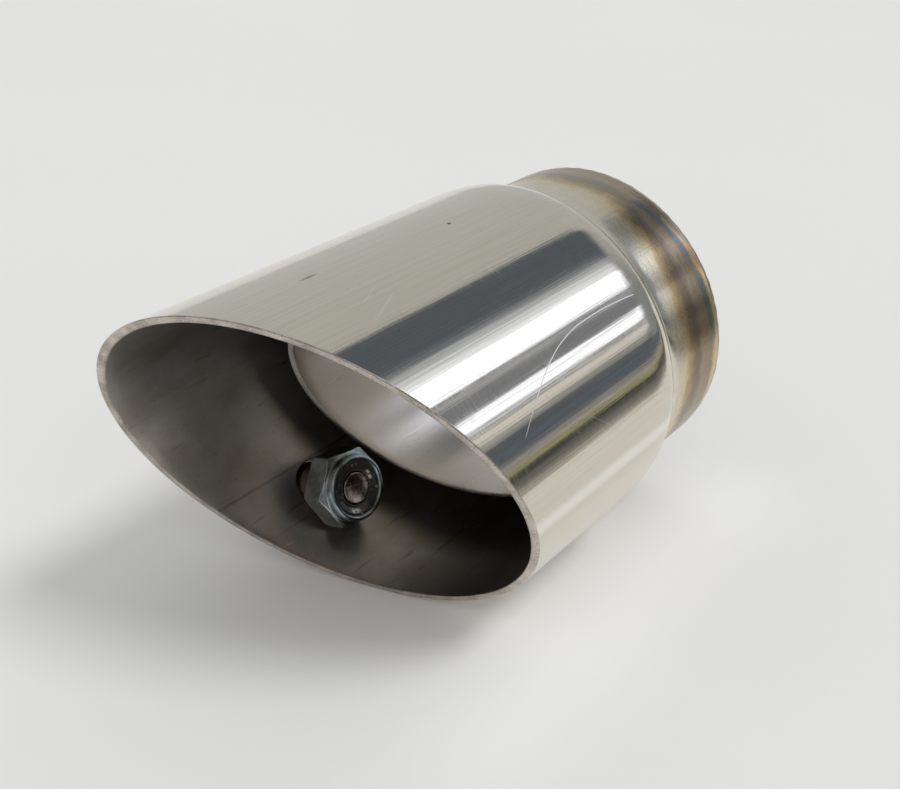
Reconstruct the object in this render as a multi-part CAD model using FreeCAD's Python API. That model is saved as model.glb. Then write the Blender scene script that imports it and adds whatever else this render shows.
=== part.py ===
"""Exhaust baffle insert: a slash-cut sleeve with a narrower tube welded inside it.

The sleeve is a thin stainless tube swaged down to a neck at its rear end. The
inner tube narrows the gas way: its rear end is belled out to fill the neck, and
one weld bead closes both rear edges together. One bolt with a lock nut goes
through the sleeve's side and holds the insert in its pipe. The bolt is loose
while the insert is out of its pipe, so it leans in its hole.

Frame: +Y runs along the axis from the slashed outlet to the neck, +Z is up, and
the floor is Z = 0. The insert lies on its side, and the bolt's head on the floor
keeps it from rolling. Sizes are in millimetres.
"""
import FreeCAD
import Part
import math
import os

Vector = FreeCAD.Vector

# Sleeve, the outer tube
SLEEVE_OD = 63.5
SLEEVE_WALL = 1.2
SHOULDER_STEP = 3.05
SLASH_DEG = 29.2
RIM_TO_REAR = 72.0
NECK_LENGTH = 15.6
SHOULDER_CROWN = 9.0
SHOULDER_ROOT = 1.5

# Inner tube, cut on the same slant as the sleeve but further back
INNER_OD = 46.9
INNER_WALL = 1.0
INNER_SETBACK = 26.3
BELL_SEAT = 10.0
BELL_CROWN = 4.2
BELL_ROOT = 3.2

# Weld bead over the two rear edges
BEAD_HEIGHT = 1.0

# Bolt and lock nut
BOLT_D = 8.0
BOLT_HOLE_D = 9.8
BOLT_ROUND_DEG = 93.2
BOLT_BACK = 18.8
BOLT_LEAN_DEG = 24.0
POINT_SHARE = 0.7
POINT_LENGTH = 2.0
HEX_ACROSS = 13.0
HEAD_HEIGHT = 5.3
HEX_CHAMFER_DEG = 30.0
HEAD_FACE_SHARE = 0.95
NUT_FACE_SHARE = 0.98
COLLAR_SHARE = 0.93
NUT_HEX_HEIGHT = 4.8
NUT_COLLAR_HEIGHT = 1.7
NUT_COLLAR_WALL = 0.6
NUT_LIP = 0.5
NUT_TURN_DEG = 50.7
INSERT_DEPTH = 0.5
BOLT_END_DEPTH = 0.6

# Clearances
TOUCH_GAP = 0.05
BELL_GAP = 0.05
THREAD_GAP = 0.05

sleeve_r = SLEEVE_OD / 2
sleeve_bore_r = sleeve_r - SLEEVE_WALL
neck_r = sleeve_r - SHOULDER_STEP
neck_bore_r = neck_r - SLEEVE_WALL
inner_r = INNER_OD / 2
bell_r = neck_bore_r - BELL_GAP
slash_slope = math.tan(math.radians(SLASH_DEG))
rear_edge = RIM_TO_REAR - BEAD_HEIGHT
hex_flat_r = HEX_ACROSS / 2
hex_corner_r = hex_flat_r / math.cos(math.pi / 6)
bolt_r = BOLT_D / 2
AXIS = Vector(0, 1, 0)


def spoke(degrees):
    """The direction across the axis at an angle from +X towards +Z."""
    turn = math.radians(degrees)
    return Vector(math.cos(turn), 0, math.sin(turn))


def travel(start, way, radius, inward):
    """How far along a way across the axis a point goes to lie at a radius."""
    along = start.dot(way)
    root = math.sqrt(along ** 2 - start.dot(start) + radius ** 2)
    return -along - root if inward else -along + root


def bend_angle(wide_r, narrow_r, crown, root):
    """How far round each bend of a step in a tube goes."""
    return math.acos(1 - (wide_r - narrow_r) / (crown + root))


def bend_length(wide_r, narrow_r, crown, root):
    """How long a step in a tube is along the axis."""
    return (crown + root) * math.sin(bend_angle(wide_r, narrow_r, crown, root))


def stepped_tube(wide_r, narrow_r, wall, wide_end, bend_at, narrow_end, crown, root):
    """A tube of one wall thickness with a smooth step down in its diameter."""
    way = 1 if narrow_end > wide_end else -1
    bend = bend_angle(wide_r, narrow_r, crown, root)
    root_at = bend_at + way * bend_length(wide_r, narrow_r, crown, root)

    def crown_point(radius, turn):
        across = wide_r - crown + radius * math.cos(turn)
        return Vector(across, bend_at + way * radius * math.sin(turn), 0)

    def root_point(radius, turn):
        across = narrow_r + root - radius * math.cos(turn)
        return Vector(across, root_at - way * radius * math.sin(turn), 0)

    def surface(depth):
        first = crown - depth
        last = root + depth
        start = Vector(wide_r - depth, wide_end, 0)
        end = Vector(narrow_r - depth, narrow_end, 0)
        crown_arc = Part.Arc(crown_point(first, 0), crown_point(first, bend / 2), crown_point(first, bend))
        root_arc = Part.Arc(root_point(last, bend), root_point(last, bend / 2), root_point(last, 0))
        edges = [
            Part.makeLine(start, crown_point(first, 0)),
            crown_arc.toShape(),
            root_arc.toShape(),
            Part.makeLine(root_point(last, 0), end),
        ]
        return start, edges, end

    outer_start, outer_edges, outer_end = surface(0)
    inner_start, inner_edges, inner_end = surface(wall)
    edges = outer_edges + [Part.makeLine(outer_end, inner_end)]
    edges += list(reversed(inner_edges)) + [Part.makeLine(inner_start, outer_start)]
    section = Part.Face(Part.Wire(Part.__sortEdges__(edges)))
    return section.revolve(Vector(0, 0, 0), AXIS, 360)


def slash(tube, centre_at, tip, reach):
    """The tube with its front cut off on a slant, longest on the tip's side."""
    across = tip.cross(AXIS)
    corners = [
        tip * -reach + AXIS * (centre_at + slash_slope * reach),
        tip * reach + AXIS * (centre_at - slash_slope * reach),
        tip * reach - AXIS * 2 * reach,
        tip * -reach - AXIS * 2 * reach,
    ]
    corners = [corner - across * reach for corner in corners]
    waste = Part.Face(Part.makePolygon(corners + corners[:1])).extrude(across * 2 * reach)
    return tube.cut(waste)


def turned(profile, base, way):
    """A solid turned from (radius, height) corners about a way from a base."""
    points = [Vector(radius, 0, height) for radius, height in profile]
    section = Part.Face(Part.makePolygon(points + points[:1]))
    solid = section.revolve(Vector(0, 0, 0), Vector(0, 0, 1), 360)
    return placed(solid, base, way, 0)


def placed(solid, base, way, turn_deg):
    """A solid made along +Z, turned about its own axis and stood on a base along a way.

    A turn of zero puts its +X along the insert's axis.
    """
    second = way.cross(AXIS)
    rotation = FreeCAD.Rotation(AXIS, second, way, "ZXY")
    spin = FreeCAD.Rotation(Vector(0, 0, 1), turn_deg)
    solid = solid.copy()
    solid.Placement = FreeCAD.Placement(base, rotation.multiply(spin))
    return solid


def hexagon(height, face_share):
    """A hexagon bar along +Z, a corner on +X, with its top corners turned off."""
    corners = []
    for i in range(6):
        turn = math.pi / 3 * i
        corners.append(Vector(hex_corner_r * math.cos(turn), hex_corner_r * math.sin(turn), 0))
    bar = Part.Face(Part.makePolygon(corners + corners[:1])).extrude(Vector(0, 0, height))
    drop = (hex_corner_r - hex_flat_r * face_share) * math.tan(math.radians(HEX_CHAMFER_DEG))
    outline = [
        Vector(0, 0, 0),
        Vector(hex_corner_r, 0, 0),
        Vector(hex_corner_r, 0, height - drop),
        Vector(hex_flat_r * face_share, 0, height),
        Vector(0, 0, height),
    ]
    blank = Part.Face(Part.makePolygon(outline + outline[:1]))
    return bar.common(blank.revolve(Vector(0, 0, 0), Vector(0, 0, 1), 360))


# The bolt is set out with the sleeve's long tip at angle 0. Its axis crosses the
# middle of the sleeve's wall, and it leans off square in the plane across the axis.
def bolt_lines(tip_deg):
    """Where the bolt crosses the wall, its way inwards, and the way down its lean."""
    outward_deg = tip_deg + BOLT_ROUND_DEG
    inward_deg = outward_deg + 180 - BOLT_LEAN_DEG
    crossing = spoke(outward_deg) * (sleeve_r - SLEEVE_WALL / 2)
    return crossing, spoke(inward_deg), spoke(inward_deg - 90)


# The head's bearing face stops when its upper edge meets the outside of the
# sleeve, and the nut stops when its lowest corner meets the inside.
crossing, inward, lean_way = bolt_lines(0)
near_edge = max(-hex_flat_r, min(hex_flat_r, -crossing.dot(lean_way)))
head_out = travel(crossing + lean_way * near_edge, inward * -1, sleeve_r + TOUCH_GAP, False)
nut_in = 0.0
for i in range(6):
    corner_turn = math.radians(NUT_TURN_DEG + 60 * i)
    corner_side = -hex_corner_r * math.sin(corner_turn)
    corner_start = crossing + lean_way * corner_side
    nut_in = max(nut_in, travel(corner_start, inward, sleeve_bore_r - TOUCH_GAP, True))

# At rest the floor touches the sleeve and the head's lowest edge. The angle between
# those two lines of contact gives the turn of the whole insert.
head_edge = crossing - inward * (head_out + HEAD_HEIGHT) + lean_way * hex_flat_r
head_edge_deg = math.degrees(math.atan2(head_edge.z, head_edge.x))
floor_deg = head_edge_deg + math.degrees(math.acos(sleeve_r / head_edge.Length))
tip_deg = -90 - floor_deg
tip = spoke(tip_deg)
crossing, inward, lean_way = bolt_lines(tip_deg)
crossing = crossing + AXIS * BOLT_BACK

# Sleeve: a tube stepped down to the neck, slashed, with the bolt's hole drilled square
tip_front = -slash_slope * sleeve_r
shoulder_length = bend_length(sleeve_r, neck_r, SHOULDER_CROWN, SHOULDER_ROOT)
shoulder_at = rear_edge - NECK_LENGTH - shoulder_length
blank_front = tip_front - SLEEVE_WALL
sleeve = stepped_tube(
    sleeve_r,
    neck_r,
    SLEEVE_WALL,
    blank_front,
    shoulder_at,
    rear_edge,
    SHOULDER_CROWN,
    SHOULDER_ROOT,
)
sleeve = slash(sleeve, 0, tip, SLEEVE_OD)
hole_way = spoke(tip_deg + BOLT_ROUND_DEG)
hole = Part.makeCylinder(BOLT_HOLE_D / 2, 2 * BOLT_D, crossing - hole_way * BOLT_D, hole_way)
sleeve = sleeve.cut(hole)

# Inner tube: a straight tube slashed like the sleeve, its rear belled out into the neck
bell_length = bend_length(bell_r, inner_r, BELL_CROWN, BELL_ROOT)
inner_front = INNER_SETBACK - slash_slope * inner_r - INNER_WALL
inner = stepped_tube(
    bell_r,
    inner_r,
    INNER_WALL,
    rear_edge,
    rear_edge - BELL_SEAT,
    inner_front,
    BELL_CROWN,
    BELL_ROOT,
)
inner = slash(inner, INNER_SETBACK, tip, INNER_OD)

# Weld bead: a low rounded ring over the sleeve's and the inner tube's rear edges
bead_in = Vector(bell_r - INNER_WALL, rear_edge, 0)
bead_out = Vector(neck_r, rear_edge, 0)
bead_top = Vector((bead_in.x + bead_out.x) / 2, rear_edge + BEAD_HEIGHT, 0)
bead_arc = Part.Arc(bead_in, bead_top, bead_out).toShape()
bead_face = Part.Face(Part.Wire([bead_arc, Part.makeLine(bead_out, bead_in)]))
bead = bead_face.revolve(Vector(0, 0, 0), AXIS, 360)

# Bolt and nut along the bolt's axis. The shank ends in a taper that starts the thread
nut_height = NUT_HEX_HEIGHT + NUT_COLLAR_HEIGHT
bolt_end_in = nut_in + nut_height - BOLT_END_DEPTH
head_base = crossing - inward * head_out
shank_length = head_out + bolt_end_in
point_r = bolt_r * POINT_SHARE
shank_profile = [
    (0, 0),
    (bolt_r, 0),
    (bolt_r, shank_length - POINT_LENGTH),
    (point_r, shank_length),
    (0, shank_length),
]
head = placed(hexagon(HEAD_HEIGHT, HEAD_FACE_SHARE), head_base, inward * -1, 0)
bolt = head.fuse(turned(shank_profile, head_base, inward)).removeSplitter()

# The nut's collar holds a nylon ring and is rolled in over its edge
nut_base = crossing + inward * nut_in
collar_r = hex_flat_r * COLLAR_SHARE
pocket_r = collar_r - NUT_COLLAR_WALL
pocket_floor = NUT_HEX_HEIGHT - NUT_LIP
insert_top = nut_height - INSERT_DEPTH
collar_profile = [
    (bolt_r + THREAD_GAP, NUT_HEX_HEIGHT / 2),
    (collar_r, NUT_HEX_HEIGHT / 2),
    (collar_r, nut_height - NUT_COLLAR_HEIGHT / 2),
    (collar_r - NUT_COLLAR_WALL / 3, nut_height - NUT_COLLAR_HEIGHT / 8),
    (pocket_r, nut_height),
    (pocket_r - NUT_LIP, nut_height - INSERT_DEPTH / 4),
    (pocket_r - NUT_LIP, insert_top),
    (pocket_r, insert_top),
    (pocket_r, pocket_floor),
    (bolt_r + THREAD_GAP, pocket_floor),
]
nut = hexagon(NUT_HEX_HEIGHT, NUT_FACE_SHARE)
nut = nut.cut(Part.makeCylinder(pocket_r, nut_height, Vector(0, 0, pocket_floor)))
nut = nut.cut(Part.makeCylinder(bolt_r + THREAD_GAP, nut_height))
nut = placed(nut, nut_base, inward, NUT_TURN_DEG)
nut = nut.fuse(turned(collar_profile, nut_base, inward)).removeSplitter()

ring_profile = [
    (bolt_r + THREAD_GAP, pocket_floor),
    (pocket_r, pocket_floor),
    (pocket_r, insert_top),
    (point_r + 2 * THREAD_GAP, insert_top),
]
ring = turned(ring_profile, nut_base, inward)

# Lift the insert on to the floor and put the middle of its length over the origin
rear_face = rear_edge + BEAD_HEIGHT
middle = (tip_front + rear_face) / 2
to_floor = Vector(0, -middle, sleeve_r)
nodes = {
    "outer_sleeve": sleeve,
    "inner_tube": inner,
    "rear_weld_bead": bead,
    "fixing_bolt": bolt,
    "lock_nut": nut,
    "nylon_ring": ring,
}

os.makedirs("parts", exist_ok=True)
for name, shape in nodes.items():
    shape = shape.Solids[0].copy()
    shape.translate(to_floor)
    shape.exportStep("parts/" + name + ".step")
    box = shape.BoundBox
    print(
        name,
        shape.ShapeType,
        len(nodes[name].Solids),
        shape.isValid(),
        "volume %.1f" % shape.Volume,
        "X %.2f %.2f Y %.2f %.2f Z %.2f %.2f" % (box.XMin, box.XMax, box.YMin, box.YMax, box.ZMin, box.ZMax),
    )
print("tip angle %.2f, middle %.3f, shank %.2f" % (tip_deg, middle, shank_length))
print("nut in %.2f, head out %.2f" % (nut_in, head_out))
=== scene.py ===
# %% [markdown]
# # A slash-cut exhaust insert in stainless steel
# Two thin tubes share one axis. The outer sleeve is polished and steps down to a neck,
# and the inner tube sits back inside it. A leaning bolt with a locking nut crosses the
# sleeve's wall. The CAD model in the frame sets the places and main sizes, which are repeated
# here, and this file gives the looks.

import math

import bmesh
import bpy
from mathutils import Matrix, Vector


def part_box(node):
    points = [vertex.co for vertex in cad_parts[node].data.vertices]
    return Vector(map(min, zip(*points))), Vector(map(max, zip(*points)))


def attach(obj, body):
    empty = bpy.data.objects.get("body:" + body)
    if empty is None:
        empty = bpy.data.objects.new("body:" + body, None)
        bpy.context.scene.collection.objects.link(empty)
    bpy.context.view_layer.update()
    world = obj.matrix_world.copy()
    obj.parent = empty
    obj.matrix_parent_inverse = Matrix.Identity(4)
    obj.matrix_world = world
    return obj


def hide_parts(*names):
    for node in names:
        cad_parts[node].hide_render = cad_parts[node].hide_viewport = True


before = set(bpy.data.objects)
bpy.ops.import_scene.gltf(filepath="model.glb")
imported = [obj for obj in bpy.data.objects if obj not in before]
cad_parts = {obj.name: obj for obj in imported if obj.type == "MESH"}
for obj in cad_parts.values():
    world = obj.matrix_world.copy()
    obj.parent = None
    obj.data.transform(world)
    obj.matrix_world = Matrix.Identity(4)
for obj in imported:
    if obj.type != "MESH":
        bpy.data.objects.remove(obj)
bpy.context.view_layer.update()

# %% [markdown]
# ## The camera
# A camera is a place, a direction and a lens. This one looks down into the slashed mouth
# from the front right. The three directions below are the picture's right, its up and
# the way back to the viewer, so they make the columns of the camera's matrix.

# %% Place the camera
CAMERA_PLACE = (0.09415, -0.10885, 0.12483)
scene = bpy.context.scene


def show(name, data):
    made = bpy.data.objects.new(name, data)
    scene.collection.objects.link(made)
    return made


camera_data = bpy.data.cameras.new("viewer")
camera_data.sensor_fit = "HORIZONTAL"
camera_data.sensor_width = 36.0
camera_data.lens = 40.897
camera_data.clip_start = 0.005
camera = show("viewer", camera_data)
picture_right = Vector((0.76112, 0.64845, 0.01447))
picture_up = Vector((-0.35598, 0.39898, 0.84504))
toward_viewer = picture_right.cross(picture_up)
turned = Matrix((picture_right, picture_up, toward_viewer)).transposed()
camera.matrix_world = Matrix.Translation(CAMERA_PLACE) @ turned.to_4x4()
scene.camera = camera
print("camera stands", round(camera.location.length, 3), "m from the middle of the floor")

# %% [markdown]
# ## Small helpers for node trees
# Shaders and Geometry Nodes are both trees of small boxes joined by links. A Value is one
# output of such a box. It knows its tree, so two Values can be added or multiplied like
# numbers, and each sum becomes a Math node. That works in both kinds of tree.

# %% Helpers that add nodes
MM = 0.001


class Value:
    def __init__(self, tree, socket):
        self.tree = tree
        self.socket = socket

    def __add__(self, other):
        return calc("ADD", self, other)

    def __sub__(self, other):
        return calc("SUBTRACT", self, other)

    def __rsub__(self, other):
        return calc("SUBTRACT", other, self)

    def __mul__(self, other):
        return calc("MULTIPLY", self, other)

    def __truediv__(self, other):
        return calc("DIVIDE", self, other)


def feed(socket, value):
    if isinstance(value, Value):
        value.tree.links.new(value.socket, socket)
    elif socket.type == "RGBA":
        socket.default_value = (*value, 1.0)
    else:
        socket.default_value = value


def add_node(tree, kind, fed=None, output=0, **settings):
    made = tree.nodes.new(kind)
    for name, value in settings.items():
        setattr(made, name, value)
    for name, value in (fed or {}).items():
        feed(made.inputs[name], value)
    return Value(tree, made.outputs[output])


def tree_of(values):
    return next(v.tree for v in values if isinstance(v, Value))


def calc(operation, *values):
    return add_node(tree_of(values), "ShaderNodeMath", dict(enumerate(values)), operation=operation)


def pack_vector(*parts):
    return add_node(tree_of(parts), "ShaderNodeCombineXYZ", dict(enumerate(parts)))


def parts_of(vector):
    made = vector.tree.nodes.new("ShaderNodeSeparateXYZ")
    feed(made.inputs[0], vector)
    return [Value(vector.tree, socket) for socket in made.outputs]


print("helpers ready, one millimetre is", MM, "Blender units")

# %% [markdown]
# ## A lathe made of nodes
# Nearly everything here is a section swept round an axis, as on a lathe. One tree does it for
# all: a flat grid is bent so that its first side runs round the axis and its second side
# follows the section. Each point of the section also has a share, from 0 to 1, of
# the piece's own rule. The rule can slant the end (the slash cut), pare the outside to six
# flats (bolt head and nut), cut a screw thread, or ripple a weld. A rule is better
# than hand-placed points here, because one changed number redraws the whole piece.

lathe = bpy.data.node_groups.new("lathe with slash, flats, thread and ripple", "GeometryNodeTree")
FINISH_INPUTS = ("Outside Finish", "Edge Finish", "Inside Finish")
SIZE_INPUTS = {
    "Slash Slope": 0.0, "Tip Angle": 0.0,
    "Flat Radius": 1.0, "Corner Radius": 1.0,
    "Thread Pitch": 1.0, "Thread Depth": 0.0,
    "Ripple Count": 1.0, "Ripple Height": 0.0, "Ripple Seed": 4.0,
}
LATHE_INPUTS = [
    ("Section", "NodeSocketGeometry", None),
    ("Steps Round", "NodeSocketInt", 96),
    ("Closed Loop", "NodeSocketInt", 1),
]
LATHE_INPUTS += [(name, "NodeSocketFloat", value) for name, value in SIZE_INPUTS.items()]
LATHE_INPUTS += [(name, "NodeSocketMaterial", None) for name in FINISH_INPUTS]
lathe_sockets = {}
for socket_name, socket_kind, socket_value in LATHE_INPUTS:
    declared = lathe.interface.new_socket(socket_name, in_out="INPUT", socket_type=socket_kind)
    if socket_value is not None:
        declared.default_value = socket_value
    lathe_sockets[socket_name] = declared.identifier
lathe.interface.new_socket("Piece", in_out="OUTPUT", socket_type="NodeSocketGeometry")
lathe_in = lathe.nodes.new("NodeGroupInput")
lathe_out = lathe.nodes.new("NodeGroupOutput")
given = {name: Value(lathe, lathe_in.outputs[name]) for name in lathe_sockets}
print("lathe inputs:", ", ".join(lathe_sockets))

# %% [markdown]
# The grid has one column for each step round the axis and one row for each point
# of the section. A closed section, such as a tube's wall, needs one more row, which lands
# on the first again. The row's number picks the section's point with Sample Index.

# %% The grid and its rows
point_count = add_node(lathe, "GeometryNodeAttributeDomainSize", {"Geometry": given["Section"]},
                       "Point Count", component="MESH")
row_count = point_count + given["Closed Loop"]
grid = add_node(lathe, "GeometryNodeMeshGrid", {
    "Size X": 1.0, "Size Y": 1.0,
    "Vertices X": given["Steps Round"] + 1.0, "Vertices Y": row_count})
here = add_node(lathe, "GeometryNodeInputPosition")
grid_x, grid_y = parts_of(here)[:2]
turn = (grid_x + 0.5) * math.tau
row_place = (grid_y + 0.5) * (row_count - 1.0)
row_index = calc("MODULO", calc("ROUND", row_place), point_count)
face_index = calc("MODULO", calc("FLOOR", row_place), point_count)


def from_section(value, index, kind):
    return add_node(lathe, "GeometryNodeSampleIndex",
                    {"Geometry": given["Section"], "Value": value, "Index": index},
                    data_type=kind, domain="POINT")


radius, height, share = parts_of(from_section(here, row_index, "FLOAT_VECTOR"))
print("grid rows follow the section, nodes so far:", len(lathe.nodes))

# %% [markdown]
# Each rule is a short sum. Six flats: a flat's distance from the axis, divided by the cosine of
# the angle off its middle, limits the radius. The thread is a triangle wave that climbs one
# pitch a turn. The slash moves a point along the axis by its distance towards the long tip.
# The ripple is a wave round the weld, broken up by noise so no two scales are alike.

# %% The rules for flats, thread, slash and ripple
from_flat = calc("WRAP", turn, math.pi / 6, -math.pi / 6)
flat_limit = given["Flat Radius"] / calc("COSINE", from_flat)
flat_limit = calc("MINIMUM", flat_limit, given["Corner Radius"])
pared = calc("MINIMUM", radius, flat_limit)
lead = height / given["Thread Pitch"] - turn / math.tau
thread_wave = calc("PINGPONG", lead, 0.5) * 2.0
pared = pared - thread_wave * given["Thread Depth"] * share
toward_tip = pared * calc("COSINE", turn - given["Tip Angle"])
slant = toward_tip * given["Slash Slope"]
ring_spot = pack_vector(calc("COSINE", turn), calc("SINE", turn), given["Ripple Seed"])
unevenness = add_node(lathe, "ShaderNodeTexNoise", {"Vector": ring_spot, "Scale": 9.0, "Detail": 3.0})
scale_place = turn / math.tau * given["Ripple Count"] + unevenness
scale_wave = calc("PINGPONG", scale_place, 0.5)
ripple = (scale_wave + unevenness) * given["Ripple Height"]
raised = height - (slant + ripple) * share
pared = pared - ripple * share
print("rules in place, nodes so far:", len(lathe.nodes))

# %% [markdown]
# The side of each face (outside, edge or inside) is stored before the grid is bent. Then the
# points move, the doubled seam and poles are merged, and each side gets its finish.

# %% Bend the grid, merge the seam, set the finishes
SEAM_MERGE = 0.000002
face_side = add_node(lathe, "GeometryNodeInputNamedAttribute", {"Name": "side"}, data_type="FLOAT")
side_here = from_section(face_side, face_index, "FLOAT")
lathed = add_node(lathe, "GeometryNodeStoreNamedAttribute",
                  {"Geometry": grid, "Name": "side", "Value": side_here},
                  data_type="FLOAT", domain="FACE")
bent_place = pack_vector(pared * calc("COSINE", turn), pared * calc("SINE", turn), raised)
lathed = add_node(lathe, "GeometryNodeSetPosition", {"Geometry": lathed, "Position": bent_place})
lathed = add_node(lathe, "GeometryNodeMergeByDistance", {"Geometry": lathed, "Distance": SEAM_MERGE})
lathed = add_node(lathe, "GeometryNodeRealizeInstances", {"Geometry": lathed})
for side_number, finish_name in enumerate(FINISH_INPUTS):
    is_side = add_node(lathe, "FunctionNodeCompare",
                       {"A": face_side, "B": float(side_number), "Epsilon": 0.1},
                       data_type="FLOAT", operation="EQUAL")
    lathed = add_node(lathe, "GeometryNodeSetMaterial", {
        "Geometry": lathed, "Selection": is_side, "Material": given[finish_name]})
feed(lathe_out.inputs["Piece"], lathed)
print("lathe tree has", len(lathe.nodes), "nodes")

# %% [markdown]
# ## Running the lathe
# A section is a list of points: radius, height, share of the rule and side, in millimetres.
# Straight runs, arcs and single spots make it up.

# %% Pieces of a section
OUTSIDE, EDGE, INSIDE = 0.0, 1.0, 2.0


def straight(start, end, step, side, first_share=0.0, last_share=0.0):
    count = max(1, round(math.dist(start, end) / step))
    made = []
    for i in range(count):
        t = i / count
        made.append((start[0] + (end[0] - start[0]) * t, start[1] + (end[1] - start[1]) * t,
                     first_share + (last_share - first_share) * t, side))
    return made


def arc(centre, size, first_deg, last_deg, count, side, share_here=0.0):
    made = []
    for i in range(count + 1):
        angle = math.radians(first_deg + (last_deg - first_deg) * i / count)
        made.append((centre[0] + size * math.cos(angle), centre[1] + size * math.sin(angle),
                     share_here, side))
    return made


def spots(side, *places):
    return [(*place, 0.0, side) for place in places]


print("a quarter arc of 3 steps has", len(arc((0, 0), 1, 0, 90, 3, EDGE)), "points")

# %% [markdown]
# The section becomes a tiny mesh with no faces, which the tree reads. The result is turned into a
# plain mesh, its normals are made to point outwards, and it is placed by moving its points,
# so that the object itself stays at the origin.

# %% The lathe in use
DOUBLES = 0.000001
CREASE = math.radians(32)


def plain_mesh(thing):
    return bpy.data.meshes.new_from_object(
        thing.evaluated_get(bpy.context.evaluated_depsgraph_get()))


def mesh_from(name, work):
    mesh = bpy.data.meshes.new(name)
    work.to_mesh(mesh)
    work.free()
    return mesh


def smooth(mesh):
    mesh.shade_smooth()
    mesh.set_sharp_from_angle(angle=CREASE)


def turn_piece(name, section, place, finishes, **sizes):
    points_mesh = bpy.data.meshes.new(name + "_section")
    points_mesh.from_pydata([(p[0] * MM, p[1] * MM, p[2]) for p in section], [], [])
    sides = points_mesh.attributes.new("side", "FLOAT", "POINT")
    sides.data.foreach_set("value", [p[3] for p in section])
    blank = show(name + "_blank", points_mesh)
    machine = blank.modifiers.new("lathe", "NODES")
    machine.node_group = lathe
    for label, finish in zip(FINISH_INPUTS, finishes):
        machine[lathe_sockets[label]] = finish
    for label, value in sizes.items():
        machine[lathe_sockets[label.replace("_", " ").title()]] = value
    mesh = plain_mesh(blank)
    bpy.data.objects.remove(blank)
    mesh.name = name
    mesh.transform(place)
    tidy_normals(mesh)
    return show(name, mesh)


def tidy_normals(mesh):
    work = bmesh.new()
    work.from_mesh(mesh)
    bmesh.ops.remove_doubles(work, verts=work.verts, dist=DOUBLES)
    bmesh.ops.recalc_face_normals(work, faces=work.faces)
    work.to_mesh(mesh)
    work.free()
    smooth(mesh)


def settle(piece, node):
    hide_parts(node)
    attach(piece, "root")
    low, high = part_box(node)
    corners = [piece.matrix_world @ v.co for v in piece.data.vertices]
    over = 0.0
    for axis in range(3):
        over = max(over, max(c[axis] for c in corners) - high[axis])
        over = max(over, low[axis] - min(c[axis] for c in corners))
    print(piece.name, "has", len(piece.data.polygons), "faces and stands",
          round(over / MM, 2), "mm outside its CAD node's box at most")


print("lathe ready")

# %% [markdown]
# ## Where things are on the tubes
# Both tubes lie along Y with their axis one sleeve radius above the floor. A finish often needs to
# know how far along and round the tube a point lies. The Object coordinate gives that
# in any view and in the export: along is the distance behind the rim's middle in millimetres, and
# around is the angle in degrees, from the right side upwards.

# %% Places on a tube
SLEEVE_R = 31.75
RIM_MIDDLE = -27.128
DEGREES = math.degrees(1.0)


def new_finish(name):
    material = bpy.data.materials.new(name)
    material.use_nodes = True
    return material


def object_spot(material):
    return add_node(material.node_tree, "ShaderNodeTexCoord", output="Object")


def tube_places(material):
    x, y, z = parts_of(object_spot(material))
    aside = x / MM
    along = y / MM - RIM_MIDDLE
    above = z / MM - SLEEVE_R
    around = calc("ARCTAN2", above, aside) * DEGREES
    return aside, along, above, around


print("axis", SLEEVE_R, "mm above the floor")

# %% [markdown]
# A finish is mostly masks: noise that says how much of something there is at a point, a fade that
# turns a range of it into 0 to 1, and a blend that lays a colour on by that share. Noise on a
# tube is squeezed round it and stretched along it by two numbers. At the end a finish is
# dressed with its colour, its roughness and a bump height.

# %% Small pattern helpers


def grain(vector, scale, detail=2.0, distortion=0.0):
    return add_node(vector.tree, "ShaderNodeTexNoise", {
        "Vector": vector, "Scale": scale, "Detail": detail, "Distortion": distortion})


def tube_grain(places, across, lengthways, detail=2.0, distortion=0.0):
    aside, along, above = places[:3]
    return grain(pack_vector(aside * across, along * lengthways, above * across),
                 1.0, detail, distortion)


def fade(value, start, end):
    return add_node(value.tree, "ShaderNodeMapRange",
                    {"Value": value, "From Min": start, "From Max": end},
                    "Result", interpolation_type="SMOOTHSTEP")


def near(value, middle, half, soft):
    return fade(calc("ABSOLUTE", value - middle), half + soft, half)


def blend(share_here, first, second, mode="MIX"):
    return add_node(tree_of((share_here, first, second)), "ShaderNodeMix",
                    {0: share_here, 6: first, 7: second}, 2, data_type="RGBA", blend_type=mode)


def colour_steps(value, steps):
    made = value.tree.nodes.new("ShaderNodeValToRGB")
    feed(made.inputs[0], value)
    ramp = made.color_ramp
    while len(ramp.elements) < len(steps):
        ramp.elements.new(0.5)
    for element, (place, colour) in zip(ramp.elements, steps):
        element.position = place
        element.color = (*colour, 1.0)
    return Value(value.tree, made.outputs[0])


def dress(material, colour, roughness, relief, depth_mm, strength, metallic=1.0):
    shader = material.node_tree.nodes["Principled BSDF"]
    feed(shader.inputs["Base Color"], colour)
    feed(shader.inputs["Roughness"], roughness)
    feed(shader.inputs["Metallic"], metallic)
    feed(shader.inputs["Normal"], add_node(material.node_tree, "ShaderNodeBump", {
        "Strength": strength, "Distance": depth_mm * MM, "Height": relief}))
    print(material.name, "uses", len(material.node_tree.nodes), "nodes")


print("pattern helpers ready")

# %% [markdown]
# ## Finish: polished stainless on the sleeve's outside
# The outside was belt polished along the tube, so faint lines run lengthways. Long thin noise,
# squeezed round the tube and stretched along it, gives those lines to the roughness and to a
# very shallow bump. Short cross marks from hand brushing run the other way, so their noise is
# stretched round the tube. An image of scratches could do it too, but noise has no seams.

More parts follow.
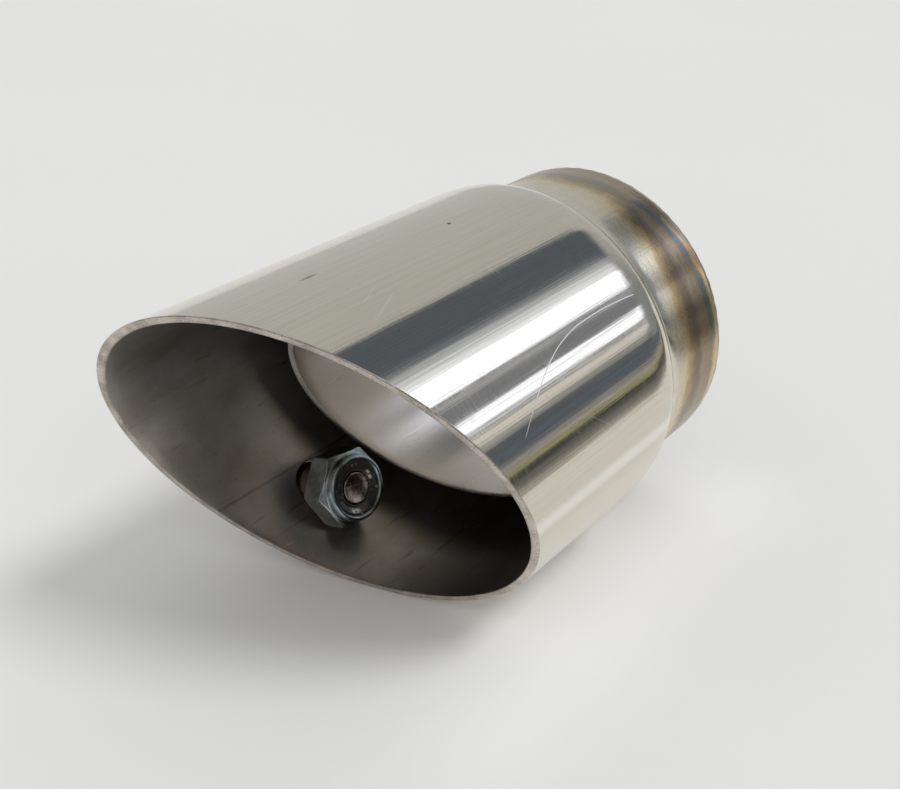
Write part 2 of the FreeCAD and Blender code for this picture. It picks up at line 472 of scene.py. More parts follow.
# %% Polish lines
polished = new_finish("polished_stainless")
shine_places = tube_places(polished)
along, above, around = shine_places[1:]
fine_lines = tube_grain(shine_places, 4.0, 0.05)
broad_lines = tube_grain(shine_places, 0.9, 0.02)
clouds = tube_grain(shine_places, 0.09, 0.05, 3.0)
cross_field = tube_grain(shine_places, 0.35, 4.5)
cross_patch = tube_grain(shine_places, 0.16, 0.10)
cross_marks = fade(cross_field, 0.40, 0.75) * fade(cross_patch, 0.25, 0.70)
on_neck = fade(along, 55.0, 57.5)
off_neck = 1.0 - on_neck
unrolled = around * math.radians(SLEEVE_R)
print("polish lines made")

# %% [markdown]
# Handling leaves hairlines: short, straight and at odd angles. A noise field that is stretched hard
# along a slanted direction has nearly straight level lines, and a thin slice of it at one level gives
# those lines. A second, slow noise keeps only some stretches of them.

# %% Hairlines at two slants


def hairlines_at(slant_deg, seed):
    along_part = math.cos(math.radians(slant_deg))
    round_part = math.sin(math.radians(slant_deg))
    across = unrolled * along_part - along * round_part
    lengthways = unrolled * round_part + along * along_part
    field = grain(pack_vector(across * 0.30, lengthways * 0.012, seed), 1.0, 0.0)
    patch = grain(pack_vector(across * 0.25, lengthways * 0.11, seed + 4.0), 1.0, 1.0)
    return near(field, 0.5, 0.0012, 0.0035) * fade(patch, 0.60, 0.68)


hairlines = calc("MAXIMUM", hairlines_at(24.0, 2.5), hairlines_at(-38.0, 9.5)) * off_neck
print("hairlines at two slants")

# %% [markdown]
# One long curved scratch crosses the right flank. On the unrolled tube its line is a gentle arch, which
# a Float Curve holds with six points, and the distance from a point to that arch draws it.
# A thin dark smear by the rim and a speck on the top come from distances too.

# %% The long scratch, the smear and the speck
ARCH_START, ARCH_LENGTH, ARCH_TALLEST = 12.5, 35.0, 30.0
ARCH = ((12.5, 13.95), (17.4, 17.85), (23.1, 21.35), (28.9, 23.3), (34.5, 23.85), (47.5, 23.15))
arch_curve = polished.node_tree.nodes.new("ShaderNodeFloatCurve")
arch_points = arch_curve.mapping.curves[0].points
while len(arch_points) < len(ARCH):
    arch_points.new(0.5, 0.5)
for point, (arch_along, arch_height) in zip(arch_points, ARCH):
    point.location = ((arch_along - ARCH_START) / ARCH_LENGTH, arch_height / ARCH_TALLEST)
arch_curve.mapping.update()
feed(arch_curve.inputs["Value"], (along - ARCH_START) / ARCH_LENGTH)
arch_line = Value(polished.node_tree, arch_curve.outputs[0]) * ARCH_TALLEST
scratch = fade(calc("ABSOLUTE", unrolled - arch_line), 0.12, 0.03) * near(along, 30.0, 16.5, 1.0)


def spot_distance(spot_unrolled, spot_along, squeeze):
    off_along = (along - spot_along) * squeeze
    off_round = unrolled - spot_unrolled
    return calc("SQRT", off_round * off_round + off_along * off_along)


smear = fade(spot_distance(51.9, 2.7, 0.24), 0.50, 0.10) * fade(fine_lines, 0.30, 0.50)
speck = fade(spot_distance(49.7, 29.7, 1.0), 0.42, 0.22)
marks = calc("MAXIMUM", scratch, hairlines * 0.25)
print("marks placed")

# %% [markdown]
# Welding the rear edge heated the neck, and the oxide film shows it in colours: straw first, then
# gold and brown, then a paler tan and a gold edge. A colour ramp along the neck gives the order,
# and noise makes the borders wander, as they do in a real heated zone. On top of the neck the
# torch moved faster, so the whole order sits nearer the edge there. Height above the axis says
# where the top is, because an angle would jump where the turn closes.

# %% Heat colours
HEAT_START, HEAT_LENGTH = 55.0, 17.0
wander = tube_grain(shine_places, 0.10, 0.10, 3.0)
wander_fine = tube_grain(shine_places, 0.45, 0.60, 3.0)
near_top = fade(above, 24.0, 28.5)
heat_place = along + (wander - 0.5) * 4.0 + (wander_fine - 0.5) * 2.6 - near_top * 2.6
heat_colour = colour_steps((heat_place - HEAT_START) / HEAT_LENGTH, (
    (0.10, (1.00, 0.99, 0.95)),
    (0.27, (0.96, 0.86, 0.66)),
    (0.37, (0.66, 0.51, 0.30)),
    (0.46, (0.38, 0.29, 0.20)),
    (0.55, (0.31, 0.25, 0.22)),
    (0.65, (0.50, 0.41, 0.33)),
    (0.74, (0.47, 0.37, 0.28)),
    (0.83, (0.42, 0.35, 0.29)),
    (0.90, (0.92, 0.76, 0.46)),
    (1.00, (1.00, 0.92, 0.68)),
))
heat_strength = 1.0 - near_top * 0.22
print("heat colours cover the last", HEAT_LENGTH, "mm of the neck")

# %% [markdown]
# Under the film lies the steel: slow clouds, streaks from the polish lines, a little dust, and one
# narrow painted highlight along the right side.

# %% The steel and its film
steel = blend(clouds, (0.745, 0.70, 0.605), (0.715, 0.67, 0.58))
steel = blend(fade(fine_lines, 0.35, 0.70) * 0.6, steel, (0.655, 0.61, 0.52))
dust = fade(tube_grain(shine_places, 1.3, 0.9), 0.69, 0.75)
steel = blend(dust * 0.18, steel, (0.36, 0.33, 0.28))
# A narrow band along the right flank is painted paler: a painted highlight, not a mark on the steel.
painted_highlight_band = near(around, -1.5, 0.5, 3.2) * off_neck
steel = blend(painted_highlight_band * 0.75, steel, (0.95, 0.925, 0.87))
tinted_steel = blend(on_neck * heat_strength, steel, heat_colour, "MULTIPLY")
print("steel blended, nodes so far:", len(polished.node_tree.nodes))

# %% [markdown]
# The torch lingered at two places by the edge, and there the film grew thick enough for blue, with a
# fringe of orange and yellow outside it. Each streak is a thin line along the neck's edge that lasts
# for a short way round.

# %% Blue streaks where the torch lingered


def edge_streak(from_deg, to_deg, at_start, at_end, half, soft):
    share_round = (around - from_deg) / (to_deg - from_deg)
    middle = share_round * (at_end - at_start) + at_start
    middle = middle + (wander_fine - 0.5) * 1.2
    return near(along, middle, half, soft) * near(share_round, 0.5, 0.32, 0.22)


STREAKS = {
    "slate blue": (72.0, 40.0, 67.7, 69.4, 0.35, 0.6, (0.24, 0.32, 0.48)),
    "dark teal": (38.0, 8.0, 69.0, 69.5, 0.45, 0.7, (0.22, 0.28, 0.31)),
    "brown edge": (74.0, 44.0, 69.8, 70.9, 0.30, 0.6, (0.46, 0.38, 0.36)),
    "orange fringe": (48.0, 33.0, 70.3, 70.8, 0.20, 0.6, (0.98, 0.50, 0.24)),
    "yellow fringe": (38.0, 16.0, 70.9, 70.8, 0.20, 0.5, (1.00, 0.86, 0.42)),
}
for *line, colour in STREAKS.values():
    film = blend(1.0, steel, colour, "MULTIPLY")
    tinted_steel = blend(edge_streak(*line) * 0.85, tinted_steel, film)
tinted_steel = blend(marks * 0.9, tinted_steel, (0.97, 0.96, 0.93))
tinted_steel = blend(smear * 0.85, tinted_steel, (0.20, 0.18, 0.14))
tinted_steel = blend(speck, tinted_steel, (0.12, 0.10, 0.08))
print("streaks:", ", ".join(STREAKS))

# %% [markdown]
# Roughness decides how sharp a reflection is. The flank is nearly a mirror, with a little haze from the
# polish lines. The heated neck is duller and slightly wavy. The bump height is a few thousandths
# of a millimetre, which is enough to fray the edges of the reflected bands.

# %% Roughness and relief of the polish
dullness = fine_lines * 0.06 + 0.055 + on_neck * 0.17 + cross_marks * 0.07
dullness = dullness + marks * 0.40 + smear * 0.16
relief = broad_lines * 3.0 + fine_lines + cross_marks * 0.6 + wander_fine * (on_neck * 7.0)
dress(polished, tinted_steel, dullness, relief, 0.0055, 0.9)

# %% [markdown]
# ## Finish: the sleeve's inside and the cut rims
# The inside was never polished. It is a brownish grey with draw lines and scores along the tube, one
# seam where the strip was welded into a tube, and some soot low on the right. The rims show
# bare saw-cut metal: taupe, grainy and a little scorched, with burrs that glint.

# %% The dull inside
dull = new_finish("dull_inside")
dull_places = tube_places(dull)
dull_along, dull_around = dull_places[1], dull_places[3]
draw_lines = tube_grain(dull_places, 3.0, 0.06, 3.0)
stain = tube_grain(dull_places, 0.12, 0.10, 4.0)
specks = fade(tube_grain(dull_places, 2.2, 2.2), 0.66, 0.74)
scores = tube_grain(dull_places, 1.1, 0.10, 4.0, 0.4)
soot = near(dull_around, -58.0, 22.0, 22.0)
seam_place = grain(pack_vector(0.0, dull_along, 0.0), 0.5, 1.0) * 0.8 - 143.2
seam = fade(calc("ABSOLUTE", dull_around - seam_place), 0.75, 0.15)
dull_colour = blend(fade(stain, 0.35, 0.65), (0.47, 0.455, 0.43), (0.37, 0.325, 0.27))
for mask, laid_colour in (
    (draw_lines * 0.35, (0.55, 0.52, 0.48)),
    (specks * 0.5, (0.16, 0.12, 0.09)),
    (fade(scores, 0.36, 0.28) * 0.45, (0.13, 0.11, 0.09)),
    (fade(scores, 0.68, 0.75) * 0.4, (0.66, 0.62, 0.56)),
    (soot * 0.55, (0.12, 0.115, 0.115)),
    (seam * 0.40, (0.12, 0.08, 0.05)),
):
    dull_colour = blend(mask, dull_colour, laid_colour)
dress(dull, dull_colour, draw_lines * 0.16 + 0.24, draw_lines - seam, 0.004, 0.5, metallic=0.97)

# %% The saw-cut rim
sawn = new_finish("sawn_rim")
sawn_places = tube_places(sawn)
sawn_grain = tube_grain(sawn_places, 3.0, 3.0, 3.0)
sawn_patch = fade(tube_grain(sawn_places, 0.30, 0.30, 3.0), 0.30, 0.70)
burr = fade(sawn_grain, 0.60, 0.68)
pits = fade(sawn_grain, 0.38, 0.30)
sawn_colour = blend(sawn_patch, (0.38, 0.345, 0.305), (0.62, 0.565, 0.51))
sawn_colour = blend(burr * 0.7, sawn_colour, (0.88, 0.82, 0.76))
sawn_colour = blend(pits * 0.7, sawn_colour, (0.16, 0.12, 0.09))
dress(sawn, sawn_colour, sawn_grain * 0.3 + 0.26, sawn_grain, 0.05, 0.6)

# %% [markdown]
# ## The outer sleeve
# The sleeve is 1.2 mm sheet rolled into a 63.5 mm tube, cut off on a slant in front and swaged to
# a narrower neck behind. The swage is a run of four bends: a gentle lead-in, a crown, a tight root
# and a gentle run-out. The steepest angle is the one that makes the whole step come out right.

# %% The shoulder's run of bends
SLEEVE_WALL, SHOULDER_STEP = 1.2, 3.05
SHOULDER_AT, REAR_EDGE = 45.0, 71.0
LEAD_IN, CROWN, ROOT, RUN_OUT = 38.0, 9.0, 1.8, 24.0
LEAD_IN_DEG, RUN_OUT_DEG = 6.0, 7.0
lead_cos = math.cos(math.radians(LEAD_IN_DEG))
run_cos = math.cos(math.radians(RUN_OUT_DEG))
gentle_drop = LEAD_IN * (1 - lead_cos) + RUN_OUT * (1 - run_cos)
steep_cos = (gentle_drop + CROWN * lead_cos + ROOT * run_cos - SHOULDER_STEP) / (CROWN + ROOT)
STEEP_DEG = math.degrees(math.acos(steep_cos))
shoulder = [(SLEEVE_R, SHOULDER_AT, 0.0)]


def bend_on(size, end_deg, count):
    first_r, first_at, first_deg = shoulder[-1]
    way = 1 if end_deg > first_deg else -1
    for i in range(1, count + 1):
        turn_deg = first_deg + (end_deg - first_deg) * i / count
        fall = abs(math.cos(math.radians(first_deg)) - math.cos(math.radians(turn_deg)))
        advance = way * (math.sin(math.radians(turn_deg)) - math.sin(math.radians(first_deg)))
        shoulder.append((first_r - size * fall, first_at + size * advance, turn_deg))


bend_on(LEAD_IN, LEAD_IN_DEG, 4)
bend_on(CROWN, STEEP_DEG, 14)
bend_on(ROOT, RUN_OUT_DEG, 7)
bend_on(RUN_OUT, 0.0, 5)
NECK_R, NECK_AT = shoulder[-1][:2]
print("steepest part", round(STEEP_DEG, 1), "degrees")
print("neck radius", round(NECK_R, 2), "mm, straight from", round(NECK_AT, 1), "mm")

# %% [markdown]
# The section is a thin closed loop. The slash rule moves every point of the rim, and less and less
# of it further back, so the shoulder stays square. Two rows of points close together behind
# the rim's rounding keep its reflections straight.

# %% The sleeve's section
SLASH_SLOPE = math.tan(math.radians(29.2))
TIP_DEG = 133.46
RIM_ROUND, RIM_HOLD = 0.28, 0.04
bore = SLEEVE_R - SLEEVE_WALL
neck_bore = NECK_R - SLEEVE_WALL
inner_bends = []
for r, at, turn_deg in reversed(shoulder):
    inner_r = r - SLEEVE_WALL * math.cos(math.radians(turn_deg))
    inner_at = at - SLEEVE_WALL * math.sin(math.radians(turn_deg))
    inner_bends.append((inner_r, inner_at))
sleeve_section = [
    *arc((SLEEVE_R - RIM_ROUND, RIM_ROUND), RIM_ROUND, -90, 0, 5, EDGE, 1.0)[:-1],
    (SLEEVE_R, RIM_ROUND, 1.0, OUTSIDE),
    *straight((SLEEVE_R, RIM_ROUND + RIM_HOLD), (SLEEVE_R, SHOULDER_AT), 1.6, OUTSIDE, 0.999, 0.0),
    *spots(OUTSIDE, *[bend[:2] for bend in shoulder]),
    *straight((NECK_R, NECK_AT), (NECK_R, REAR_EDGE), 1.5, OUTSIDE)[1:],
    *spots(EDGE, (NECK_R, REAR_EDGE)),
    *straight((neck_bore, REAR_EDGE), (neck_bore, NECK_AT), 1.5, INSIDE),
    *spots(INSIDE, *inner_bends),
    *straight((bore, SHOULDER_AT), (bore, RIM_ROUND), 1.6, INSIDE, 0.0, 1.0)[1:],
    *arc((bore + RIM_ROUND, RIM_ROUND), RIM_ROUND, 180, 270, 5, EDGE, 1.0),
]
print("sleeve section has", len(sleeve_section), "points")

# %% [markdown]
# The lathe works about Z. One matrix lays its axis along Y at the right height, and it turns the
# lathe's second axis to point down, so an angle on the tube is the lathe's angle
# taken the other way. The bolt's hole is then drilled with a Boolean by a short round cutter.

# %% Turn the sleeve
lay_down = Matrix((
    (1.0, 0.0, 0.0, 0.0),
    (0.0, 0.0, 1.0, RIM_MIDDLE * MM),
    (0.0, -1.0, 0.0, SLEEVE_R * MM),
    (0.0, 0.0, 0.0, 1.0),
))
slash = {"slash_slope": SLASH_SLOPE, "tip_angle": -math.radians(TIP_DEG)}
sleeve = turn_piece("outer_sleeve_skin", sleeve_section, lay_down, (polished, sawn, dull),
                    steps_round=288, **slash)
print("sleeve turned with its tip at", TIP_DEG, "degrees")

# %% Drill the bolt's hole
HOLE_DEG, HOLE_ALONG, HOLE_R, DRILL_LENGTH = TIP_DEG + 93.2, 18.8, 4.9, 8.0
hole_way = Vector((math.cos(math.radians(HOLE_DEG)), 0.0, math.sin(math.radians(HOLE_DEG))))
hole_level = Vector((0.0, HOLE_ALONG + RIM_MIDDLE, SLEEVE_R))
hole_middle = hole_way * SLEEVE_R + hole_level
drill_work = bmesh.new()
bmesh.ops.create_cone(drill_work, cap_ends=True, segments=64, radius1=HOLE_R * MM,
                      radius2=HOLE_R * MM, depth=DRILL_LENGTH * MM)
drill_mesh = mesh_from("drill", drill_work)
drill_mesh.transform(Matrix.Translation(hole_middle * MM)
                     @ hole_way.to_track_quat("Z", "Y").to_matrix().to_4x4())
drill_mesh.materials.append(sawn)
drill = show("drill", drill_mesh)
drilling = sleeve.modifiers.new("bolt hole", "BOOLEAN")
drilling.object = drill
drilling.solver = "EXACT"
drilling.material_mode = "TRANSFER"
drilled = plain_mesh(sleeve)
sleeve.modifiers.clear()
sleeve.data = drilled
bpy.data.objects.remove(drill)
smooth(drilled)
settle(sleeve, "outer_sleeve")

# %% [markdown]
# ## The inner tube
# The inner tube carries the gas. It is satin inside, cut on the same slant as the sleeve, set back
# from it, and flared behind to meet the neck. The same lathe turns it.

# %% Satin finish of the inner tube
satin = new_finish("satin_stainless")
satin_places = tube_places(satin)
satin_lines = tube_grain(satin_places, 4.0, 0.10, 3.0)
satin_cloud = tube_grain(satin_places, 0.12, 0.08, 3.0)
satin_speck = fade(tube_grain(satin_places, 2.0, 2.0), 0.67, 0.74)
satin_colour = blend(satin_cloud, (0.73, 0.69, 0.635), (0.61, 0.565, 0.505))
satin_colour = blend(satin_speck * 0.35, satin_colour, (0.25, 0.20, 0.15))
dress(satin, satin_colour, satin_lines * 0.18 + 0.22, satin_lines, 0.003, 0.5, metallic=0.94)

# %% The inner tube's section and piece
TUBE_R, TUBE_WALL, SET_BACK = 23.45, 1.0, 26.3
BELL_R, BELL_AT, BELL_BEND, BELL_CROWN, BELL_ROOT = 27.45, 61.0, 62.65, 4.2, 3.2
flare_at = BELL_AT - (BELL_CROWN + BELL_ROOT) * math.sin(math.radians(BELL_BEND))
tube_bore = TUBE_R - TUBE_WALL
bell_bore = BELL_R - TUBE_WALL
tube_front = SET_BACK + RIM_ROUND
crown_middle = (BELL_R - BELL_CROWN, BELL_AT)
root_middle = (TUBE_R + BELL_ROOT, flare_at)
tube_section = [
    *arc((TUBE_R - RIM_ROUND, tube_front), RIM_ROUND, -90, 0, 4, EDGE, 1.0)[:-1],
    *straight((TUBE_R, tube_front), (TUBE_R, flare_at), 1.8, OUTSIDE, 1.0, 0.0),
    *arc(root_middle, BELL_ROOT, 180, 180 - BELL_BEND, 8, OUTSIDE),
    *arc(crown_middle, BELL_CROWN, -BELL_BEND, 0, 8, OUTSIDE)[1:],
    *straight((BELL_R, BELL_AT + 0.5), (BELL_R, REAR_EDGE), 2.0, OUTSIDE),
    *spots(EDGE, (BELL_R, REAR_EDGE)),
    *straight((bell_bore, REAR_EDGE), (bell_bore, BELL_AT), 2.0, INSIDE),
    *arc(crown_middle, BELL_CROWN - TUBE_WALL, 0, -BELL_BEND, 8, INSIDE),
    *arc(root_middle, BELL_ROOT + TUBE_WALL, 180 - BELL_BEND, 180, 8, INSIDE)[1:],
    *straight((tube_bore, flare_at - 0.5), (tube_bore, tube_front), 1.8, INSIDE, 0.018, 1.0),
    *arc((tube_bore + RIM_ROUND, tube_front), RIM_ROUND, 180, 270, 4, EDGE, 1.0),
]
inner = turn_piece("inner_tube_skin", tube_section, lay_down, (satin, sawn, satin),
                   steps_round=256, **slash)
settle(inner, "inner_tube")

# %% [markdown]
# ## The rear weld
# A bead of fused metal joins the two rear edges. A hand-held torch leaves shallow scales, so the
# ripple rule sinks the bead in small waves, and noise varies them. Its section is nearly
# square with rounded corners, which is what the power below one does to the round dome.

# %% The weld's finish
weld_finish = new_finish("tinted_weld")
weld_places = tube_places(weld_finish)
weld_cloud = tube_grain(weld_places, 0.16, 0.9, 3.0)
weld_grain = tube_grain(weld_places, 3.0, 3.0)
weld_colour = colour_steps(weld_cloud, (
    (0.25, (0.30, 0.35, 0.42)),
    (0.38, (0.35, 0.29, 0.28)),
    (0.48, (0.52, 0.43, 0.32)),
    (0.60, (0.63, 0.56, 0.43)),
    (0.80, (0.60, 0.58, 0.53)),
))
weld_colour = blend(fade(weld_grain, 0.36, 0.28) * 0.6, weld_colour, (0.10, 0.08, 0.06))
dress(weld_finish, weld_colour, weld_grain * 0.3 + 0.16, weld_grain, 0.02, 0.4)

# %% The weld's section and piece
BEAD_IN, BEAD_HEIGHT, SQUARENESS, BEAD_STEPS = 26.45, 1.0, 0.30, 24
bead_half = (NECK_R - BEAD_IN) / 2
bead_section = []
for i in range(BEAD_STEPS + 1):
    t = math.pi * i / BEAD_STEPS
    across_bead = math.copysign(abs(math.cos(t)) ** SQUARENESS, math.cos(t))
    dome = math.sin(t) ** SQUARENESS if 0 < i < BEAD_STEPS else 0.0
    bead_section.append((BEAD_IN + bead_half * (1 + across_bead), REAR_EDGE + BEAD_HEIGHT * dome,
                         min(1.0, 1.2 * dome), OUTSIDE))
bead_section += spots(OUTSIDE, (BEAD_IN + bead_half, REAR_EDGE - 0.1))
bead = turn_piece("rear_weld_scales", bead_section, lay_down, (weld_finish,) * 3,
                  steps_round=720, ripple_count=64.0, ripple_height=0.09 * MM)
settle(bead, "rear_weld_bead")

# %% [markdown]
# ## The bolt and its locking nut
# A zinc-plated M8 bolt leans through its loose hole. Zinc plate is a cool grey with a soft sheen and
# small stains. The pieces are turned about their own axis,
# with the flats and thread as rules, and then placed along the bolt.

# %% The zinc finish
zinc = new_finish("zinc_plate")
zinc_spot = object_spot(zinc)
zinc_cloud = grain(zinc_spot, 420.0, 4.0)
zinc_grain = grain(zinc_spot, 3200.0)
zinc_colour = blend(fade(zinc_cloud, 0.35, 0.65), (0.24, 0.285, 0.31), (0.42, 0.47, 0.50))
zinc_colour = blend(fade(zinc_grain, 0.36, 0.28) * 0.6, zinc_colour, (0.13, 0.11, 0.10))
dress(zinc, zinc_colour, zinc_cloud * 0.16 + 0.11, zinc_grain, 0.012, 0.5)

# %% [markdown]
# The bolt's cut end is different: no bright plate, but a purple-brown skin with small dimples. Its
# thread is painted dark brown, as the shade between the sleeve's wall and the nut. Nylon is black and
# waxy, with pale flecks painted as small glints.

# %% The bolt's end, its thread and the black nylon
stub = new_finish("bolt_end_skin")
stub_cloud = grain(object_spot(stub), 700.0, 3.0)
stub_colour = blend(fade(stub_cloud, 0.35, 0.65), (0.27, 0.22, 0.21), (0.56, 0.48, 0.45))
dress(stub, stub_colour, stub_cloud * 0.25 + 0.14, stub_cloud, 0.08, 0.7)
# The thread's dark brown is painted shade, where the wall and the nut shade the bolt.
shaded_thread = new_finish("thread_painted_shade")
thread_cloud = grain(object_spot(shaded_thread), 900.0, 3.0)
shaded_thread_colour = blend(thread_cloud, (0.055, 0.042, 0.034), (0.16, 0.125, 0.10))
dress(shaded_thread, shaded_thread_colour, thread_cloud * 0.3 + 0.25, thread_cloud, 0.03, 0.5)
nylon = new_finish("black_nylon")
nylon_spot = object_spot(nylon)
nylon_cloud = grain(nylon_spot, 600.0, 3.0)
nylon_glint_noise = grain(nylon_spot, 1500.0)
nylon_colour = blend(nylon_cloud, (0.010, 0.010, 0.012), (0.050, 0.048, 0.046))
# The pale flecks are painted glints on the black nylon.
nylon_colour = blend(fade(nylon_glint_noise, 0.64, 0.72), nylon_colour, (0.22, 0.22, 0.21))

# %% [markdown]
# The bolt's axis points inwards and a little up. A place along it is a distance from where it
# crosses the middle of the sleeve's wall. The matrix below puts the lathe's Z on
# that axis and turns the flats by an angle counted from the tube's own axis.

# %% Places along the bolt
LEAN_DEG = 24.0
HEX_FLAT = 6.5
HEX_CORNER = HEX_FLAT / math.cos(math.pi / 6)
TUBE_WAY = Vector((0.0, 1.0, 0.0))
BOLT_CROSSING = hole_way * (SLEEVE_R - SLEEVE_WALL / 2) + hole_level
inward_turn = math.radians(HOLE_DEG + 180 - LEAN_DEG)
INWARD = Vector((math.cos(inward_turn), 0.0, math.sin(inward_turn)))
ACROSS = INWARD.cross(TUBE_WAY)


def along_bolt(distance, flat_deg):
    flat_angle = math.radians(flat_deg)
    flat_way = TUBE_WAY * math.cos(flat_angle) + ACROSS * math.sin(flat_angle)
    turned_way = Matrix((flat_way, INWARD.cross(flat_way), INWARD)).transposed().to_4x4()
    return Matrix.Translation((BOLT_CROSSING + INWARD * distance) * MM) @ turned_way


def chamfer_height(flat_share):
    return (HEX_CORNER - HEX_FLAT * flat_share) * math.tan(math.radians(30))


print("bolt leans", round(math.degrees(math.asin(INWARD.z)), 1), "degrees above level")

# %% The bolt with its thread
HEAD_AT, HEAD_HEIGHT, HEAD_FACE, SHANK = -2.736, 5.3, 0.95, 13.8
THREAD_R, PITCH, THREAD_DEPTH = 4.0, 1.25, 0.62
POINT_R, POINT_LENGTH, POINT_ROUND = 2.78, 2.0, 0.16
chamfer_at = chamfer_height(HEAD_FACE) - HEAD_HEIGHT
bolt_section = [
    *spots(OUTSIDE, (0.0, -HEAD_HEIGHT), (3.0, -HEAD_HEIGHT)),
    *straight((HEX_FLAT * HEAD_FACE, -HEAD_HEIGHT), (HEX_CORNER, chamfer_at), 0.15, OUTSIDE),
    *straight((HEX_CORNER, chamfer_at), (HEX_CORNER, -0.2), 0.8, OUTSIDE),
    *spots(OUTSIDE, (HEX_CORNER, -0.2), (HEX_CORNER - 0.3, 0.0), (5.6, 0.0), (THREAD_R + 0.1, 0.0)),
    *spots(EDGE, (THREAD_R, 0.12), (THREAD_R, 2.4)),
    *straight((THREAD_R, 2.5), (THREAD_R, SHANK - POINT_LENGTH), 0.125, EDGE, 1.0, 1.0),
    *straight((THREAD_R, SHANK - POINT_LENGTH), (POINT_R, SHANK - 0.25), 0.13, EDGE, 1.0, 0.0),
    *arc((POINT_R - POINT_ROUND, SHANK - POINT_ROUND), POINT_ROUND, 0, 100, 6, INSIDE),
    *spots(INSIDE, (2.35, SHANK - 0.14), (2.0, SHANK - 0.30), (1.5, SHANK - 0.42),
           (0.8, SHANK - 0.52), (0.0, SHANK - 0.55)),
]
bolt = turn_piece(
    "fixing_bolt_threaded", bolt_section, along_bolt(HEAD_AT, 90.0), (zinc, shaded_thread, stub),
    steps_round=96, closed_loop=0, flat_radius=HEX_FLAT * MM, corner_radius=HEX_CORNER * 0.992 * MM,
    thread_pitch=PITCH * MM, thread_depth=THREAD_DEPTH * MM)
settle(bolt, "fixing_bolt")

# %% The locking nut
NUT_AT, NUT_TURN_DEG, NUT_HEX, NUT_TOP, NUT_FACE = 5.162, 50.7, 4.8, 6.5, 0.98
COLLAR_ROUND = 0.53
nut_chamfer_at = NUT_HEX - chamfer_height(NUT_FACE)
nut_section = [
    *spots(OUTSIDE, (4.75, 0.0), (6.6, 0.0), (HEX_CORNER - 0.25, 0.0)),
    *straight((HEX_CORNER, 0.15), (HEX_CORNER, nut_chamfer_at), 0.6, OUTSIDE),
    *straight((HEX_CORNER, nut_chamfer_at), (HEX_FLAT * NUT_FACE, NUT_HEX), 0.12, OUTSIDE),
    *arc((6.295, NUT_HEX + 0.25), 0.25, 270, 180, 4, OUTSIDE),
    *spots(OUTSIDE, (6.045, NUT_HEX + 0.5), (6.02, NUT_HEX + 0.9)),
    *arc((5.47, NUT_TOP - COLLAR_ROUND), COLLAR_ROUND, 15, 165, 12, OUTSIDE),
    *spots(INSIDE, (4.945, 6.0), (5.445, 5.99), (5.445, 4.3), (4.05, 4.3), (4.05, 0.6)),
]
nut = turn_piece(
    "lock_nut_collared", nut_section, along_bolt(NUT_AT, NUT_TURN_DEG - 30.0), (zinc,) * 3,
    steps_round=144, flat_radius=HEX_FLAT * MM, corner_radius=HEX_CORNER * 0.990 * MM)
settle(nut, "lock_nut")

# %% [markdown]
# Two pale patches are painted on the nylon as glints. Each glint
# is the part of a thin band round the bolt that lies close to one point of the ring.

# %% Painted glints on the nylon
RING_FACE = 5.9


def nylon_distance(radius_mm, deg):
    place_there = along_bolt(NUT_AT + RING_FACE, deg) @ Vector((radius_mm * MM, 0.0, 0.0))
    return add_node(nylon.node_tree, "ShaderNodeVectorMath", {0: nylon_spot, 1: place_there},
                    "Value", operation="DISTANCE") / MM


off_middle = nylon_distance(0.0, 0.0)
# Two painted glints, pale patches on the nylon ring.
for glint_deg, glint_r in ((-114.0, 4.15), (14.0, 3.75)):
    painted_glint = near(off_middle, glint_r, 0.16, 0.30)
    painted_glint = painted_glint * fade(nylon_distance(glint_r, glint_deg), 1.25, 0.55)
    painted_glint = painted_glint * fade(nylon_glint_noise, 0.30, 0.56)
    nylon_colour = blend(painted_glint, nylon_colour, (0.66, 0.66, 0.62))
nylon.node_tree.nodes["Principled BSDF"].inputs["Specular IOR Level"].default_value = 0.9
dress(nylon, nylon_colour, nylon_cloud * 0.2 + 0.07, nylon_cloud, 0.12, 0.8, metallic=0.0)

# %% The nylon ring
ring_section = [
    *spots(OUTSIDE, (4.05, 4.3), (5.445, 4.3), (5.445, 5.97)),
    *straight((5.2, 6.0), (4.6, 5.98), 0.15, OUTSIDE),
    *straight((4.6, 5.98), (3.45, 5.66), 0.1, OUTSIDE, 0.0, 1.0),
    *arc((3.28, 5.62), 0.2, 60, 200, 8, OUTSIDE, 0.25),
]
ring = turn_piece("nylon_ring_pressed", ring_section, along_bolt(NUT_AT, 0.0), (nylon,) * 3,
                  steps_round=144, ripple_count=7.0, ripple_height=0.32 * MM)
settle(ring, "nylon_ring")

# %% [markdown]
# ## The floor and the light
# Polished metal shows the room it stands in, so its look is mostly a matter of what surrounds it.
# A pale table carries the piece. A wide sun from high on the right gives the soft shadow, and
# the world gives plain fill light, a little stronger from above and from the viewer's right.

# %% The pale table
REACH = 4.0


def flat_sheet(name, corners):
    sheet = bpy.data.meshes.new(name)
    sheet.from_pydata(corners, [], [(0, 1, 2, 3)])
    return show(name, sheet)


floor = flat_sheet("table", [
    (-REACH, -REACH, 0.0), (REACH, -REACH, 0.0), (REACH, REACH, 0.0), (-REACH, REACH, 0.0)])
table_finish = new_finish("pale_table")
table_cloud = grain(object_spot(table_finish), 6.0)
table_shader = table_finish.node_tree.nodes["Principled BSDF"]
feed(table_shader.inputs["Base Color"],
     blend(table_cloud, (0.785, 0.785, 0.77), (0.81, 0.81, 0.795)))
table_shader.inputs["Roughness"].default_value = 0.9
table_shader.inputs["Specular IOR Level"].default_value = 0.1
floor.data.materials.append(table_finish)
print("table reaches", REACH, "m each way")

